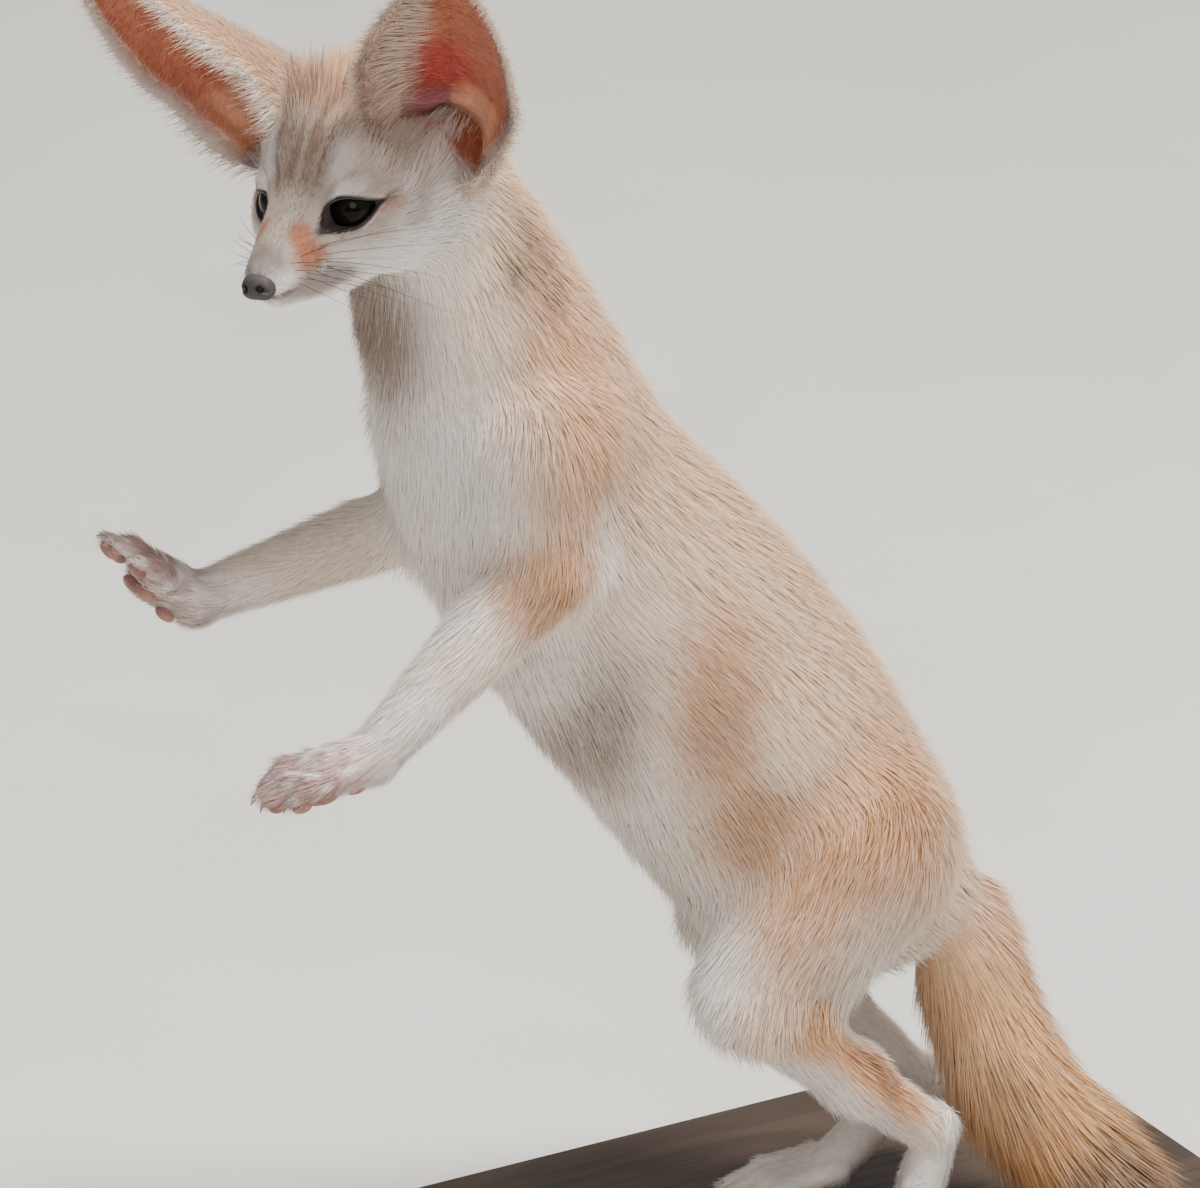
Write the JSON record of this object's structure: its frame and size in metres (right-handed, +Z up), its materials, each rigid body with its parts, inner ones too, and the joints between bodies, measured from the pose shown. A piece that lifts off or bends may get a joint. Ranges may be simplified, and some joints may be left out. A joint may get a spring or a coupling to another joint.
{
  "type": "fennec fox display model",
  "caption": "Life-size still model of a fennec fox standing up on its hind legs with its forepaws raised, on a plain flat base.",
  "frame": {"origin": "middle of the flat underside of the base", "axes": "+Z up; the fox faces -Y; its left side is towards +X"},
  "size_m": [0.2, 0.3834, 0.4936],
  "materials": {
    "coat": "short dense fur, pale sand above and whiter on face, chest, belly and legs",
    "tail": "bushy fur, golden sand with a dark brown tip",
    "ear": "thin skin, pink inside, sandy fur behind",
    "eye": "wet, nearly black",
    "nose": "moist slate grey",
    "base": "dark stained, satin"
  },
  "bodies": {
    "root": {"stand_base": "base", "torso": "coat", "neck": "coat", "head": "coat", "nose": "nose", "ear_left": "ear", "eye_left": "eye", "ear_right": "ear", "eye_right": "eye", "upper_arm_left": "coat", "forearm_left": "coat", "forepaw_left": "coat", "upper_arm_right": "coat", "forearm_right": "coat", "forepaw_right": "coat", "thigh_left": "coat", "shank_left": "coat", "hind_foot_left": "coat", "thigh_right": "coat", "shank_right": "coat", "hind_foot_right": "coat", "tail_upper": "tail", "tail_tip": "tail"}
  },
  "joints": []
}
